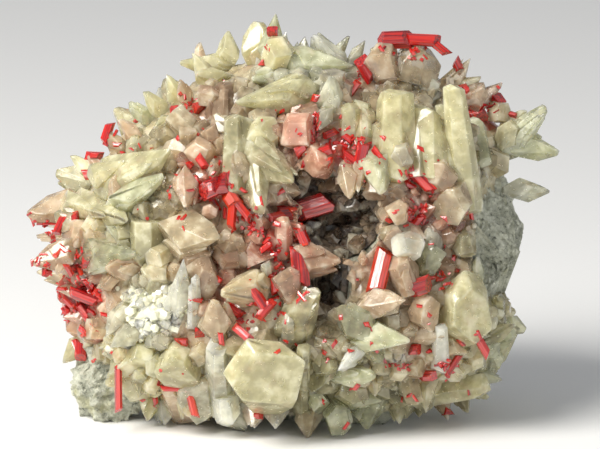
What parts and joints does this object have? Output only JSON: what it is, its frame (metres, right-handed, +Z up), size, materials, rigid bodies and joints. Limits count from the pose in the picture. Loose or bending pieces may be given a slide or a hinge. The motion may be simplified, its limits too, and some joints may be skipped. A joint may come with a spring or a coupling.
{
  "type": "realgar specimen",
  "caption": "Hand-size mineral specimen: red realgar prisms on pale dogtooth calcite, grown over host rock around a dark crystal-lined hollow.",
  "frame": {"origin": "centre of the specimen's footprint, on the surface that it stands on", "axes": "+X to the right as seen from the crystal side, along its longest extent; +Y away from the viewer, its shortest extent; +Z up"},
  "size_m": [0.108, 0.0722, 0.0822],
  "materials": {
    "host_rock": "rough, grey-white mottled, broken",
    "calcite": "vitreous, translucent, cream to pale green",
    "hollow_lining": "drusy, brown-black, glassy",
    "realgar": "resinous to glassy, translucent red"
  },
  "bodies": {
    "root": {"matrix": "host_rock", "calcite_druse": "calcite", "calcite_spur": "calcite", "vug_crust": "hollow_lining", "realgar_centre_1": "realgar", "realgar_centre_2": "realgar", "realgar_right_1": "realgar", "realgar_right_2": "realgar", "realgar_right_3": "realgar", "realgar_right_4": "realgar", "realgar_right_5": "realgar", "realgar_right_6": "realgar", "realgar_right_7": "realgar", "realgar_right_8": "realgar", "realgar_crest_1": "realgar", "realgar_crest_2": "realgar", "realgar_crest_3": "realgar", "realgar_crest_4": "realgar", "realgar_crest_5": "realgar", "realgar_crest_6": "realgar", "realgar_crest_7": "realgar", "realgar_crest_8": "realgar", "realgar_crest_9": "realgar", "realgar_crest_10": "realgar", "realgar_crest_11": "realgar", "realgar_crest_12": "realgar", "realgar_upper_1": "realgar", "realgar_upper_2": "realgar", "realgar_upper_3": "realgar", "realgar_upper_4": "realgar", "realgar_upper_5": "realgar", "realgar_left_1": "realgar", "realgar_left_2": "realgar", "realgar_left_3": "realgar", "realgar_left_4": "realgar", "realgar_left_5": "realgar", "realgar_left_6": "realgar", "realgar_left_7": "realgar", "realgar_left_8": "realgar", "realgar_left_9": "realgar", "realgar_left_10": "realgar", "realgar_left_11": "realgar", "realgar_left_12": "realgar", "realgar_foot_1": "realgar", "realgar_foot_2": "realgar", "realgar_foot_3": "realgar", "realgar_foot_4": "realgar", "realgar_foot_5": "realgar", "realgar_foot_6": "realgar", "realgar_foot_7": "realgar", "realgar_foot_8": "realgar", "realgar_foot_9": "realgar", "realgar_foot_10": "realgar", "realgar_foot_11": "realgar"}
  },
  "joints": []
}
